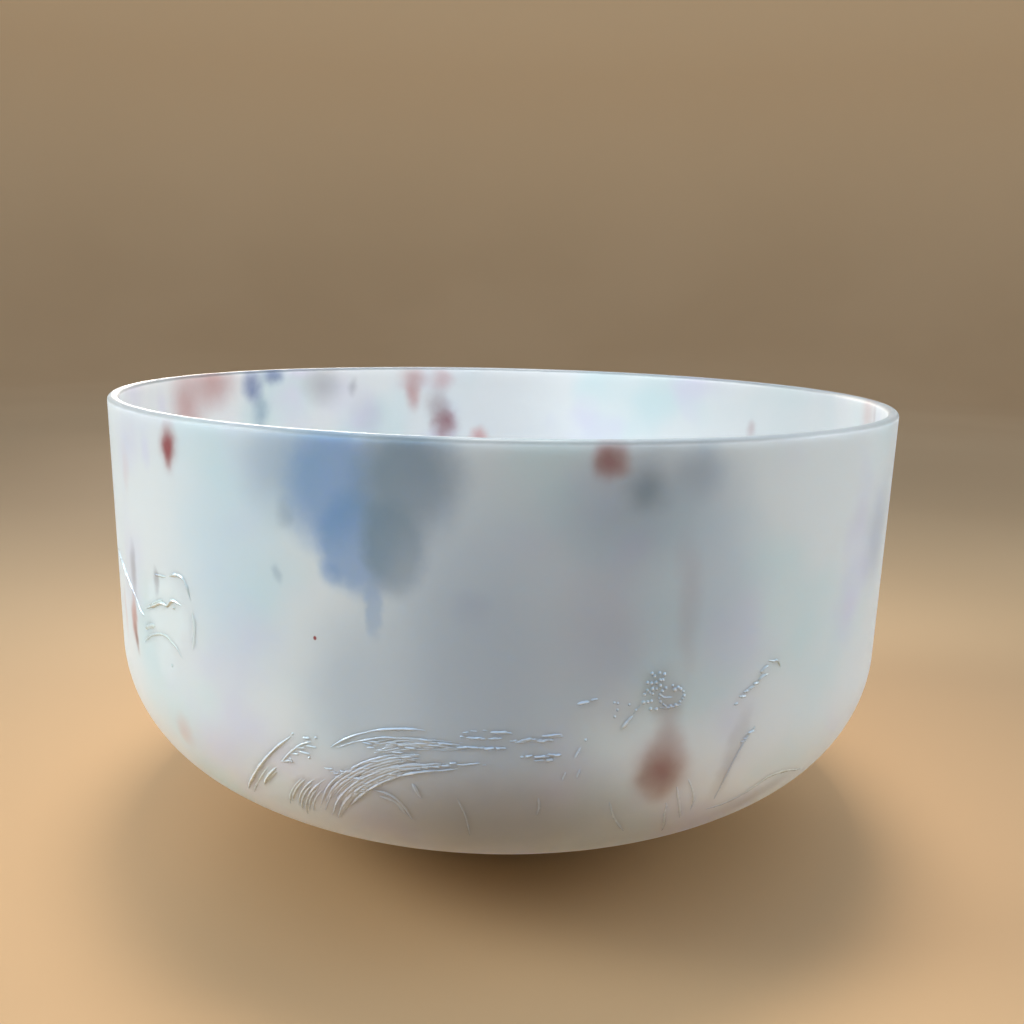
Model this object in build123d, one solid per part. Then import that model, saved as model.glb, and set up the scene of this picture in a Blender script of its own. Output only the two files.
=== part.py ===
"""A frosted quartz singing bowl, nine inches across the rim, standing in its rubber ring.

Millimetres, +Z up. The origin is on the bowl's axis, on the surface that the ring stands on.
A place on the bowl's outside is given as (azimuth, height). Azimuth 0 is the -Y side, and it grows
towards +X, in degrees. The height is measured from the bowl's lowest point.
"""

from build123d import *
from math import cos, degrees, pi, radians, sin, sqrt, tan
import os

# ---- Driving sizes of the bowl ------------------------------------------------------------------
rim_radius = 114.3  # nine inches across the rim
wall_thickness = 2.9
wall_flare = radians(0.7)  # the wall leans out a little towards the rim
straight_wall_height = 68.4  # from the rim down to the heel
heel_radius = 39.0  # tight bend from the wall into the base
heel_end_angle = radians(47)  # how far below level the outside faces where that bend ends
lower_bend_radius = 50.0
lower_bend_end_angle = radians(64)
lip_radius = 1.35  # rounding of the two edges of the rim

# ---- Driving sizes of the rubber ring -----------------------------------------------------------
ring_radius = 46.0  # to the centre of the rubber
ring_section_radius = 4.0
ring_foot_depth = 0.4  # the rubber is pressed flat by this much on the surface
ring_seat_gap = 0.15  # running gap between the bowl and the ring's seat

# ---- Driving sizes of the relief ----------------------------------------------------------------
relief_height = 0.5  # how far the clear relief stands off the bowl
fine_line_width = 0.8
broad_line_width = 1.2
blade_length = 60.0  # long enough to reach the bowl from outside it

# ---- The bowl's outline, worked out from those --------------------------------------------------


def facing(angle):
    """Outward direction, as (radius, height), of a wall that faces this angle below level."""
    return Vector(cos(angle), -sin(angle))


wall_length = straight_wall_height / cos(wall_flare)
wall_top = Vector(rim_radius, 0)
wall_foot = Vector(rim_radius - straight_wall_height * tan(wall_flare), -straight_wall_height)
heel_centre = wall_foot - facing(wall_flare) * heel_radius
lower_centre = heel_centre + facing(heel_end_angle) * (heel_radius - lower_bend_radius)
dome_radius = lower_bend_radius + lower_centre.X / cos(lower_bend_end_angle)
dome_centre = lower_centre + facing(lower_bend_end_angle) * (lower_bend_radius - dome_radius)

# The dome rests in the ring: the two circles touch where both centres are in line.
ring_height = ring_section_radius - ring_foot_depth
dome_centre_height = ring_height + sqrt(
    (dome_radius + ring_seat_gap + ring_section_radius) ** 2 - ring_radius**2
)
rim_height = dome_centre_height - dome_centre.Y
lowest_height = dome_centre_height - dome_radius


def outline(offset):
    """Half outline from the rim to the axis, moved out from the bowl's outside by offset."""
    up = Vector(0, rim_height)
    out = facing(wall_flare) * offset
    wall = Line(wall_top + up + out, wall_foot + up + out)

    def bend(centre, radius, first, last):
        return CenterArc(centre + up, radius + offset, -degrees(first), -degrees(last - first))

    heel = bend(heel_centre, heel_radius, wall_flare, heel_end_angle)
    lower = bend(lower_centre, lower_bend_radius, heel_end_angle, lower_bend_end_angle)
    dome = bend(dome_centre, dome_radius, lower_bend_end_angle, pi / 2)
    return [wall, heel, lower, dome]


def turned(edges):
    """The solid of revolution of a closed half outline, given as (radius, height)."""
    return revolve(Plane.XZ * make_face(Wire(edges)), Axis.Z)


def between(inner_offset, outer_offset):
    """The solid between two copies of the bowl's outline."""
    inner, outer = outline(inner_offset), outline(outer_offset)
    rim = Line(inner[0] @ 0, outer[0] @ 0)
    axis = Line(outer[-1] @ 1, inner[-1] @ 1)
    return turned([*inner, *outer, rim, axis])


def outer_radius_at(height):
    """The bowl's outside radius at a height above its lowest point."""
    drop = rim_height - lowest_height - height
    if drop <= straight_wall_height:
        return rim_radius - drop * tan(wall_flare)
    for centre, radius, last in (
        (heel_centre, heel_radius, heel_end_angle),
        (lower_centre, lower_bend_radius, lower_bend_end_angle),
        (dome_centre, dome_radius, pi / 2),
    ):
        if drop <= radius * sin(last) - centre.Y + 1e-9:
            return centre.X + sqrt(radius**2 - (drop + centre.Y) ** 2)
    return 0.0


# ---- The two main pieces ------------------------------------------------------------------------


def bowl_shell():
    """The quartz shell, with both edges of its rim rounded over."""
    shell = between(-wall_thickness, 0)
    rim_edges = shell.edges().group_by(Axis.Z)[-1]
    return fillet(rim_edges, lip_radius)


def rubber_ring():
    """A round rubber ring, pressed flat below and seated to the bowl's dome above."""
    ring = Pos(0, 0, ring_height) * Torus(ring_radius, ring_section_radius)
    foot_cut = Pos(0, 0, -ring_section_radius) * Box(
        4 * ring_radius, 4 * ring_radius, 2 * ring_section_radius
    )
    dome = Pos(0, 0, dome_centre_height) * Sphere(dome_radius + 2 * ring_seat_gap)
    return ring - foot_cut - dome


# ---- The clear relief on the outside ------------------------------------------------------------


class Side:
    """A drawing plane that faces one side of the bowl, for relief drawn as (azimuth, height)."""

    def __init__(self, azimuth):
        self.azimuth = azimuth
        a = radians(azimuth)
        outward = (sin(a), -cos(a), 0)
        along = (cos(a), sin(a), 0)
        start = Vector(*outward) * (rim_radius + blade_length / 2)
        self.plane = Plane(origin=start, x_dir=along, z_dir=outward)

    def point(self, azimuth, height):
        """Where the drawing plane holds that place on the bowl."""
        across = outer_radius_at(height) * sin(radians(azimuth - self.azimuth))
        return across, lowest_height + height

    def arc(self, width, first, middle, last):
        """A stroke of one width through three places."""
        path = ThreePointArc(self.point(*first), self.point(*middle), self.point(*last))
        return trace(path, width)

    def bead(self, azimuth, height, radius):
        """A round spot."""
        return Pos(*self.point(azimuth, height)) * Circle(radius)

    def patch(self, *places):
        """A filled patch with a smooth edge through these places."""
        return make_face(Spline(*[self.point(*p) for p in places], periodic=True))

    def relief(self, *shapes):
        """The drawn shapes, laid on the bowl's outside."""
        layer = between(0, relief_height)
        solids = []
        for shape in shapes:
            blade = extrude(self.plane * shape, amount=-blade_length)
            solids += (layer & blade).solids()
        return Compound(children=solids)


def left_patch():
    """A smooth lobed film on the left, with a thin line running down to it from further round."""
    side = Side(-48)
    lobe = side.patch(
        (-48.0, 85.5),
        (-43.0, 86.8),
        (-40.0, 88.0),
        (-38.4, 84.0),
        (-37.9, 77.0),
        (-39.3, 69.0),
        (-44.3, 71.0),
        (-50.3, 66.5),
        (-52.3, 73.0),
        (-51.5, 81.0),
    )
    line = side.arc(fine_line_width, (-62.8, 84.0), (-58.4, 81.6), (-53.8, 77.0))
    return side.relief(lobe, line)


def left_strokes():
    """Thin strokes that rise from the heel."""
    side = Side(-27)
    return side.relief(
        side.arc(broad_line_width, (-32.4, 37.5), (-28.7, 46.5), (-23.3, 56.5)),
        side.arc(fine_line_width, (-28.7, 41.5), (-27.4, 44.6), (-25.7, 47.5)),
        side.arc(fine_line_width, (-25.7, 37.5), (-23.9, 42.5), (-21.2, 48.6)),
        side.arc(fine_line_width, (-24.6, 35.0), (-22.7, 40.4), (-19.9, 47.0)),
    )


def main_sweep():
    """The long strokes that sweep up from the heel and lie over to the right."""
    side = Side(-9)
    return side.relief(
        side.arc(fine_line_width, (-21.2, 38.3), (-16.6, 49.0), (-7.8, 57.6)),
        side.arc(fine_line_width, (-20.0, 37.4), (-14.9, 48.0), (-5.6, 55.6)),
        side.arc(broad_line_width, (-18.8, 36.4), (-12.4, 48.0), (-2.3, 53.2)),
        side.arc(fine_line_width, (-17.4, 57.0), (-12.6, 61.5), (-6.7, 63.4)),
        side.arc(fine_line_width, (-15.6, 56.4), (-10.6, 59.6), (-4.4, 60.8)),
    )


def sweep_tail():
    """Short broken strokes where the sweep runs out to the right."""
    side = Side(6)
    return side.relief(
        side.arc(fine_line_width, (-3.4, 61.8), (-1.2, 60.4), (1.4, 60.2)),
        side.arc(fine_line_width, (1.2, 57.9), (3.2, 57.2), (5.4, 57.8)),
        side.arc(fine_line_width, (3.4, 62.6), (4.8, 62.4), (6.2, 62.9)),
        side.arc(fine_line_width, (7.0, 60.2), (8.2, 60.8), (9.4, 60.7)),
        side.arc(fine_line_width, (9.4, 69.3), (10.1, 69.9), (10.9, 70.1)),
        side.arc(fine_line_width, (14.2, 63.3), (14.9, 65.2), (15.4, 66.9)),
    )


def drips():
    """Thin runs that hang below the sweep and reach towards the base."""
    side = Side(4)
    return side.relief(
        side.arc(fine_line_width, (-11.4, 44.9), (-10.0, 43.2), (-9.1, 39.6)),
        side.arc(fine_line_width, (-3.6, 46.8), (-2.8, 41.2), (-2.5, 35.0)),
        side.arc(fine_line_width, (5.2, 47.4), (5.4, 45.0), (5.3, 42.5)),
        side.arc(fine_line_width, (13.6, 44.9), (14.7, 39.8), (16.5, 34.6)),
        side.arc(fine_line_width, (20.8, 42.6), (21.6, 37.4), (22.8, 32.0)),
    )


def bead_cluster():
    """Small beads in rows, the lower ones round an open middle."""
    side = Side(19)
    rows = (
        (74.9, (17.4, 18.6)),
        (72.8, (16.8, 17.8, 18.8)),
        (71.2, (20.1, 21.2)),
        (70.3, (16.9,)),
        (69.2, (17.8, 21.7)),
        (68.3, (16.6,)),
        (67.2, (18.6, 19.7, 20.8)),
    )
    bead_radius = 0.75
    beads = [side.bead(azimuth, height, bead_radius) for height, row in rows for azimuth in row]
    return side.relief(*beads)


def right_stroke():
    """One broad stroke that climbs to the right, with a line of beads above it."""
    side = Side(30)
    stroke = side.arc(3 * broad_line_width, (27.6, 40.5), (28.4, 50.5), (31.6, 61.5))
    places = ((28.7, 65.9), (29.8, 67.6), (31.5, 69.6), (32.0, 71.6), (33.0, 73.6), (34.3, 72.6))
    bead_radius = 0.6
    return side.relief(stroke, *[side.bead(azimuth, height, bead_radius) for azimuth, height in places])


# ---- Write one STEP file for each node ----------------------------------------------------------

nodes = {
    "bowl_shell": bowl_shell(),
    "rubber_ring": rubber_ring(),
    "relief_left_patch": left_patch(),
    "relief_left_strokes": left_strokes(),
    "relief_main_sweep": main_sweep(),
    "relief_sweep_tail": sweep_tail(),
    "relief_drips": drips(),
    "relief_bead_cluster": bead_cluster(),
    "relief_right_stroke": right_stroke(),
}

os.makedirs("parts", exist_ok=True)
for name, shape in nodes.items():
    export_step(shape, f"parts/{name}.step")

print(f"rim height {rim_height:.2f}, dome radius {dome_radius:.2f}")
print(f"lowest point of the bowl {lowest_height:.2f}")
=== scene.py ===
"""The looks of a frosted quartz singing bowl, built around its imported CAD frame.

Lengths are in metres. A place on the bowl's outside is given as (azimuth in degrees, height in mm
above the bowl's lowest point). Azimuth 0 is the -Y side, and it grows towards +X.
"""

import math
import random

import bpy
import numpy as np
from mathutils import Matrix, Vector, noise


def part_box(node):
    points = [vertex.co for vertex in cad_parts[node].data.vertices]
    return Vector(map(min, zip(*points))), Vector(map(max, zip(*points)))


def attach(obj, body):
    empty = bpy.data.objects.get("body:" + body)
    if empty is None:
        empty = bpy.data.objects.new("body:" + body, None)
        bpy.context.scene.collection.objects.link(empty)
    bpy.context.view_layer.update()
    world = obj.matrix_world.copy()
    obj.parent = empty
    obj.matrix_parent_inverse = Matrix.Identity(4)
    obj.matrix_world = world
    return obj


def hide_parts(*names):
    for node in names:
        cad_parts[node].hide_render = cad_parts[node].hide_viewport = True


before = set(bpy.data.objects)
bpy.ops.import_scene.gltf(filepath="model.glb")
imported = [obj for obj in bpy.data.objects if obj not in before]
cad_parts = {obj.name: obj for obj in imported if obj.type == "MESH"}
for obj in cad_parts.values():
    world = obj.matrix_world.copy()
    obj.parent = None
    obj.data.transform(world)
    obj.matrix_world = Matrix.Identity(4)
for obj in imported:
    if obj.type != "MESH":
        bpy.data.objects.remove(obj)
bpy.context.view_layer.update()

MM = 0.001

# ---- The bowl's outline, with the driving sizes of the CAD part ---------------------------------

RIM_RADIUS = 114.3 * MM
WALL_THICKNESS = 2.9 * MM
WALL_FLARE = math.radians(0.7)
STRAIGHT_WALL_HEIGHT = 68.4 * MM
HEEL_RADIUS = 39.0 * MM
HEEL_END_ANGLE = math.radians(47)
LOWER_BEND_RADIUS = 50.0 * MM
LOWER_BEND_END_ANGLE = math.radians(64)
LIP_RADIUS = 1.35 * MM
OUTLINE_SAMPLES = 4000  # steps of the table that turns a height into a length walked

shell_low, shell_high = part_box("bowl_shell")
RIM_HEIGHT = shell_high.z
LOWEST_HEIGHT = shell_low.z


DOWN_WALL = np.array([-math.sin(WALL_FLARE), -math.cos(WALL_FLARE)])


def facing(angle):
    """The direction, as (radius, height), that points outwards and down by that angle."""
    return np.array([math.cos(angle), -math.sin(angle)])


class Outline:
    """The bowl's outside as a curve of (radius, height), walked from the rim to the axis."""

    def __init__(self):
        wall_top = np.array([RIM_RADIUS, RIM_HEIGHT])
        wall_length = STRAIGHT_WALL_HEIGHT / math.cos(WALL_FLARE)
        wall_foot = wall_top + wall_length * DOWN_WALL
        heel = wall_foot - HEEL_RADIUS * facing(WALL_FLARE)
        lower = heel + (HEEL_RADIUS - LOWER_BEND_RADIUS) * facing(HEEL_END_ANGLE)
        dome_radius = LOWER_BEND_RADIUS + lower[0] / math.cos(LOWER_BEND_END_ANGLE)
        dome = lower + (LOWER_BEND_RADIUS - dome_radius) * facing(LOWER_BEND_END_ANGLE)
        self.wall_top = wall_top
        self.wall_length = wall_length
        self.bends = (
            (heel, HEEL_RADIUS, WALL_FLARE, HEEL_END_ANGLE),
            (lower, LOWER_BEND_RADIUS, HEEL_END_ANGLE, LOWER_BEND_END_ANGLE),
            (dome, dome_radius, LOWER_BEND_END_ANGLE, math.pi / 2),
        )
        self.length = wall_length + sum(r * (last - first) for _, r, first, last in self.bends)
        self.walk_table = np.linspace(0, self.length, OUTLINE_SAMPLES)
        self.height_table = np.array([self.at(s)[0][1] for s in self.walk_table])

    def at(self, walked):
        """The place on the outline and its outward direction."""
        if walked <= self.wall_length:
            return self.wall_top + walked * DOWN_WALL, facing(WALL_FLARE)
        left = walked - self.wall_length
        for centre, radius, first, last in self.bends:
            arc = radius * (last - first)
            if left <= arc or last == math.pi / 2:
                out = facing(min(first + left / radius, last))
                return centre + radius * out, out
            left -= arc

    def walked_to(self, height):
        """How far the outline has been walked at a height in mm above the bowl's lowest point."""
        z = LOWEST_HEIGHT + height * MM
        return float(np.interp(-z, -self.height_table, self.walk_table))


outline = Outline()


def around(radius, height, azimuth):
    """The point at that radius, height and azimuth in degrees."""
    a = math.radians(azimuth)
    return Vector((radius * math.sin(a), -radius * math.cos(a), height))


def on_bowl(azimuth, height):
    """The point on the bowl's outside at that azimuth and height in mm."""
    (radius, z), _ = outline.at(outline.walked_to(height))
    return around(radius, z, azimuth)


# ---- Node helpers -------------------------------------------------------------------------------


class Tree:
    """A material's node tree, with short ways to add linked nodes."""

    def __init__(self, name):
        self.material = bpy.data.materials.new(name)
        self.material.use_nodes = True
        self.nodes = self.material.node_tree.nodes
        self.links = self.material.node_tree.links
        self.nodes.clear()
        self.shader = self.nodes.new("ShaderNodeBsdfPrincipled")
        output = self.nodes.new("ShaderNodeOutputMaterial")
        self.links.new(self.shader.outputs[0], output.inputs["Surface"])
        self.place = self.nodes.new("ShaderNodeTexCoord").outputs["Object"]

    def set(self, socket, value):
        """Links a socket to another, or gives it a value."""
        if isinstance(value, bpy.types.NodeSocket):
            self.links.new(value, socket)
        else:
            socket.default_value = value

    def math(self, operation, *values):
        n = self.nodes.new("ShaderNodeMath")
        n.operation = operation
        for socket, value in zip(n.inputs, values):
            self.set(socket, value)
        return n.outputs[0]

    def vector(self, operation, *values):
        n = self.nodes.new("ShaderNodeVectorMath")
        n.operation = operation
        for socket, value in zip(n.inputs, values):
            self.set(socket, value)
        return n.outputs["Value" if operation == "LENGTH" else "Vector"]

    def noise(self, place, size, detail=2.0, roughness=0.5, colour=False):
        """Noise whose lumps are about size across."""
        n = self.nodes.new("ShaderNodeTexNoise")
        self.set(n.inputs["Vector"], place)
        n.inputs["Scale"].default_value = 1 / size
        n.inputs["Detail"].default_value = detail
        n.inputs["Roughness"].default_value = roughness
        return n.outputs["Color" if colour else "Fac"]

    def ramp(self, value, low, high, to_low=0.0, to_high=1.0, smooth=True):
        """Maps low..high to to_low..to_high, and holds the ends."""
        n = self.nodes.new("ShaderNodeMapRange")
        n.interpolation_type = "SMOOTHSTEP" if smooth else "LINEAR"
        self.set(n.inputs["Value"], value)
        n.inputs["From Min"].default_value = low
        n.inputs["From Max"].default_value = high
        n.inputs["To Min"].default_value = to_low
        n.inputs["To Max"].default_value = to_high
        return n.outputs["Result"]

    def attribute(self, name):
        n = self.nodes.new("ShaderNodeAttribute")
        n.attribute_name = name
        return n.outputs["Fac"]

    def mix(self, factor, first, second, blend="MIX"):
        """Mixes two colours."""
        n = self.nodes.new("ShaderNodeMix")
        n.data_type = "RGBA"
        n.blend_type = blend
        self.set(n.inputs["Factor"], factor)
        self.set(n.inputs["A"], first)
        self.set(n.inputs["B"], second)
        return n.outputs["Result"]

    def shaken(self, size, reach):
        """The object's coordinates, pushed about by up to reach by lumps of that size."""
        lumps = self.noise(self.place, size, detail=3.0, colour=True)
        push = self.vector("SUBTRACT", lumps, (0.5, 0.5, 0.5))
        scaled = self.nodes.new("ShaderNodeVectorMath")
        scaled.operation = "SCALE"
        self.links.new(push, scaled.inputs[0])
        scaled.inputs["Scale"].default_value = 2 * reach
        return self.vector("ADD", self.place, scaled.outputs["Vector"])

    def bump(self, height, distance, strength, under=None):
        """A normal bumped by a height, over another bumped normal where one is given."""
        n = self.nodes.new("ShaderNodeBump")
        n.inputs["Strength"].default_value = strength
        n.inputs["Distance"].default_value = distance
        self.set(n.inputs["Height"], height)
        if under is not None:
            self.set(n.inputs["Normal"], under)
        return n.outputs["Normal"]


def rgb(red, green, blue):
    """A screen colour, 0 to 255, as the linear colour that nodes take."""

    def linear(c):
        c /= 255
        return c / 12.92 if c <= 0.04045 else ((c + 0.055) / 1.055) ** 2.4

    return (linear(red), linear(green), linear(blue), 1.0)


# ---- Colour clouds in the quartz ----------------------------------------------------------------

WHITE = rgb(229, 236, 240)
PALE_AQUA = rgb(216, 233, 238)
PALE_VIOLET = rgb(222, 226, 240)
BLUE = rgb(130, 177, 218)
COOL = rgb(204, 228, 242)
PALE_BLUE = rgb(176, 202, 218)
DEEP_BLUE = rgb(112, 130, 178)
SLATE = rgb(126, 160, 184)
MIST = rgb(150, 168, 196)
RED = rgb(158, 56, 66)
BROWN_RED = rgb(152, 94, 92)
PINK = rgb(214, 168, 164)
DUSTY_PINK = rgb(204, 170, 168)
DUSK = rgb(186, 172, 178)
GREY = rgb(160, 160, 166)
# The next two colours are painted shade, laid on as clouds: the base's greyer belt and the cooler
# tint over the front.
SHADE = rgb(148, 157, 174)
FRONT_SHADE = rgb(201, 215, 226)
GLAZE_WHITE = rgb(232, 244, 250)

# Each cloud: azimuth, height, half width and half height in mm, lean in degrees, colour, strength,
# and how much of it is soft edge. The ones at azimuths past 90 either way are on the far side.
CLOUDS = (
    # The large two-toned blue cloud under the near rim, with its halo, its lobes and its run.
    (-32.0, 97.0, 28.0, 40.0, 0, COOL, 0.50, 0.95),
    (-23.5, 118.0, 16.0, 18.0, 0, PALE_BLUE, 0.66, 0.95),
    (-17.6, 115.0, 14.4, 19.0, 8, BLUE, 0.72, 0.65),
    (-14.6, 102.5, 11.4, 13.4, -4, BLUE, 0.66, 0.45),
    (-9.0, 116.5, 15.0, 18.0, -4, SLATE, 0.76, 0.70),
    (-10.6, 102.0, 8.7, 12.4, -8, SLATE, 0.76, 0.50),
    (-17.8, 95.4, 3.4, 4.2, 0, BLUE, 0.36, 0.80),
    (-12.8, 88.6, 2.8, 7.6, 0, BLUE, 0.46, 0.60),
    (-23.2, 107.5, 2.8, 4.4, 0, SLATE, 0.24, 0.90),
    (-24.3, 94.0, 2.0, 3.0, 0, SLATE, 0.28, 0.80),
    (-5.1, 71.0, 1.8, 1.8, 0, SLATE, 0.30, 0.90),
    (-2.6, 89.3, 5.4, 6.6, 8, DEEP_BLUE, 0.80, 0.85),
    # The wide faint cloud to the right of it, and its spots.
    (11.0, 104.0, 24.0, 25.0, 0, MIST, 0.18, 0.95),
    (12.5, 82.0, 22.0, 24.0, 0, MIST, 0.32, 0.95),
    (16.5, 112.0, 27.0, 22.0, 0, SLATE, 0.28, 0.95),
    (15.6, 115.6, 7.6, 8.4, 0, SLATE, 0.50, 0.95),
    (21.6, 118.5, 9.0, 9.0, 0, SLATE, 0.30, 0.95),
    (11.6, 121.6, 5.6, 5.6, 0, RED, 0.60, 0.92),
    (-41.1, 118.4, 5.4, 8.6, -4, RED, 0.46, 0.95),
    (-41.0, 117.6, 3.4, 5.8, -4, RED, 0.80, 0.80),
    (19.3, 52.5, 9.4, 12.0, -14, BROWN_RED, 0.56, 0.95),
    (18.9, 50.5, 6.4, 8.4, -14, BROWN_RED, 0.50, 0.95),
    (19.6, 64.0, 5.0, 16.0, -8, DUSK, 0.34, 0.95),
    (21.1, 90.0, 4.6, 24.0, -3, DUSK, 0.30, 0.95),
    # Painted shade: a cooler, greyer tint over the front, and a greyer belt round the front of the
    # base.
    (-2.0, 74.0, 36.0, 66.0, 0, FRONT_SHADE, 1.0, 0.90),
    (1.0, 38.0, 58.0, 24.0, 0, SHADE, 0.72, 0.95),
    (24.0, 31.0, 34.0, 13.0, 0, SHADE, 0.30, 0.95),
    (-16.0, 69.0, 18.0, 26.0, 0, FRONT_SHADE, 0.70, 0.95),
    (24.0, 92.0, 20.0, 40.0, 0, FRONT_SHADE, 0.60, 0.95),
    (-19.7, 80.8, 0.5, 0.6, 0, RED, 0.90, 0.50),
    # Where the glaze lies widest: a paler lobe and foot on the left, and greyer marks on the right,
    # the last of them a low greyer band that is painted shade where the base turns under.
    (-44.2, 78.0, 11.4, 11.4, -4, GLAZE_WHITE, 0.70, 0.40),
    (-44.6, 65.6, 7.0, 7.4, 8, GLAZE_WHITE, 0.45, 0.70),
    (29.0, 55.0, 3.8, 13.0, 20, GREY, 0.17, 0.70),
    (27.8, 46.0, 2.6, 10.0, 12, GREY, 0.13, 0.80),
    # Painted shade on the base's underside, below the glaze.
    (36.5, 36.5, 18.0, 4.6, -8, GREY, 0.28, 0.80),
    # Streaks and tints at the left edge.
    (-54.8, 71.0, 3.4, 9.5, 5, DUSTY_PINK, 0.95, 0.90),
    (-54.2, 65.0, 2.4, 6.4, -14, BROWN_RED, 0.66, 0.90),
    (-53.8, 84.0, 3.4, 11.0, -6, GREY, 0.50, 0.90),
    (-46.2, 84.3, 1.9, 4.4, 0, GREY, 0.52, 0.85),
    (-60.0, 70.0, 3.0, 10.0, 0, PINK, 0.25, 0.95),
    (-54.7, 109.0, 4.0, 8.0, 0, PINK, 0.16, 0.95),
    (-47.0, 116.0, 4.0, 6.0, 0, PALE_VIOLET, 0.80, 0.95),
    (-42.0, 48.0, 5.0, 6.0, 0, PINK, 0.30, 0.95),
    # What shows on the far wall, through the mouth.
    (-104.5, 115.0, 14.0, 19.0, 0, DUSTY_PINK, 0.90, 0.95),
    (-112.0, 121.5, 18.0, 12.0, 0, DUSTY_PINK, 0.85, 0.95),
    (-96.0, 117.0, 6.0, 9.0, 0, PALE_VIOLET, 0.90, 0.95),
    (-122.7, 119.8, 7.5, 11.0, 0, DEEP_BLUE, 1.0, 0.90),
    (-127.8, 123.5, 8.0, 6.0, 0, DEEP_BLUE, 0.95, 0.95),
    (-134.0, 124.5, 12.0, 5.0, 0, PALE_VIOLET, 1.0, 0.95),
    (-124.4, 109.8, 7.0, 9.0, 0, SLATE, 0.80, 0.95),
    (-139.1, 118.8, 13.0, 11.0, 0, GREY, 0.42, 0.95),
    (-146.5, 117.0, 3.4, 6.0, 0, GREY, 0.50, 0.95),
    (-150.0, 106.0, 12.0, 13.0, 0, GREY, 0.16, 0.95),
    (-159.5, 120.5, 9.4, 8.0, 0, DUSTY_PINK, 0.70, 0.95),
    (-165.8, 120.5, 8.0, 7.0, 0, DUSTY_PINK, 0.60, 0.95),
    (-159.6, 114.0, 6.0, 9.0, 0, DUSTY_PINK, 0.80, 0.95),
    (-166.6, 101.5, 9.0, 10.0, 0, RED, 0.74, 0.90),
    (-165.0, 108.5, 8.0, 12.0, 0, BROWN_RED, 0.45, 0.95),
    (-173.8, 96.0, 6.4, 7.0, 0, PINK, 0.90, 0.95),
    (84.5, 118.0, 2.4, 12.0, 0, DUSK, 0.95, 0.95),
    (88.0, 121.0, 10.0, 12.0, 0, PINK, 0.50, 0.95),
    # The sides that face away, in the same manner.
    (58.0, 96.0, 16.0, 20.0, 10, MIST, 0.30, 0.95),
    (72.0, 70.0, 4.0, 7.0, 0, BLUE, 0.26, 0.90),
    (100.0, 92.0, 13.0, 18.0, -8, BLUE, 0.50, 0.70),
    (106.0, 84.0, 9.0, 13.0, 6, SLATE, 0.46, 0.70),
    (124.0, 108.0, 4.0, 5.0, 0, RED, 0.42, 0.95),
    (140.0, 74.0, 18.0, 20.0, 0, MIST, 0.30, 0.95),
    (163.0, 88.0, 6.0, 8.0, 0, DEEP_BLUE, 0.30, 0.95),
    (-150.0, 64.0, 6.0, 9.0, 12, BROWN_RED, 0.34, 0.95),
    (-136.0, 84.0, 12.0, 16.0, 0, BLUE, 0.40, 0.75),
    (-128.0, 78.0, 8.0, 12.0, 0, SLATE, 0.36, 0.75),
    (-92.0, 92.0, 12.0, 18.0, 0, MIST, 0.24, 0.95),
    (-84.0, 62.0, 4.0, 6.0, 0, PINK, 0.40, 0.95),
)

SMALL_CLOUD = 3.0  # half height in mm: a cloud below this keeps its plain outline
SOFT_CLOUD = 0.75  # softness: a cloud above this is shaken by wider lumps
LEAST_DEPTH = 8.0  # half depth in mm, so that a narrow cloud still goes right through the wall
SECOND_TINT_AT = (0.31, 0.17, 0.05)  # moves the second tint's noise away from the first's


def add_clouds(tree):
    """The quartz's colour: milky white with faint tints, and the clouds laid over it, some of which
    are painted shade.
    """
    tint = tree.noise(tree.place, 42 * MM, detail=2.0)
    colour = tree.mix(tree.ramp(tint, 0.45, 0.75), WHITE, PALE_AQUA)
    tint = tree.noise(tree.vector("ADD", tree.place, SECOND_TINT_AT), 30 * MM, detail=2.0)
    colour = tree.mix(tree.ramp(tint, 0.50, 0.80), colour, PALE_VIOLET)
    soft_place = tree.shaken(9 * MM, 2.6 * MM)
    fine_place = tree.shaken(3.5 * MM, 1.5 * MM)
    for azimuth, height, half_width, half_height, lean, paint, strength, softness in CLOUDS:
        spot = tree.nodes.new("ShaderNodeMapping")
        spot.vector_type = "TEXTURE"
        if half_height < SMALL_CLOUD:
            place = tree.place
        else:
            place = soft_place if softness > SOFT_CLOUD else fine_place
        tree.set(spot.inputs["Vector"], place)
        spot.inputs["Location"].default_value = on_bowl(azimuth, height)
        # The cloud leans about its outward direction, then turns to face outwards at its azimuth.
        face_out = Matrix.Rotation(math.radians(azimuth), 3, "Z")
        turn = face_out @ Matrix.Rotation(math.radians(lean), 3, "Y")
        spot.inputs["Rotation"].default_value = turn.to_euler("XYZ")
        half_depth = max(half_width, LEAST_DEPTH)
        half_sizes = (half_width * MM, half_depth * MM, half_height * MM)
        spot.inputs["Scale"].default_value = half_sizes
        distance = tree.vector("LENGTH", spot.outputs["Vector"])
        cover = tree.ramp(distance, 1.0 - softness, 1.0, strength, 0.0)
        colour = tree.mix(cover, colour, paint)
    return colour


# ---- Materials ----------------------------------------------------------------------------------

CREST = "crest"  # the attribute that says how high a relief's surface stands, from 0 to 1
INSIDE = "inside"  # the attribute that is 0 on the bowl's outside and 1 on its inside
QUARTZ_IOR = 1.46
RUBBER_IOR = 1.52
GLOW_DEPTH = 3.4 * MM  # about how far light travels inside the milky quartz

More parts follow.
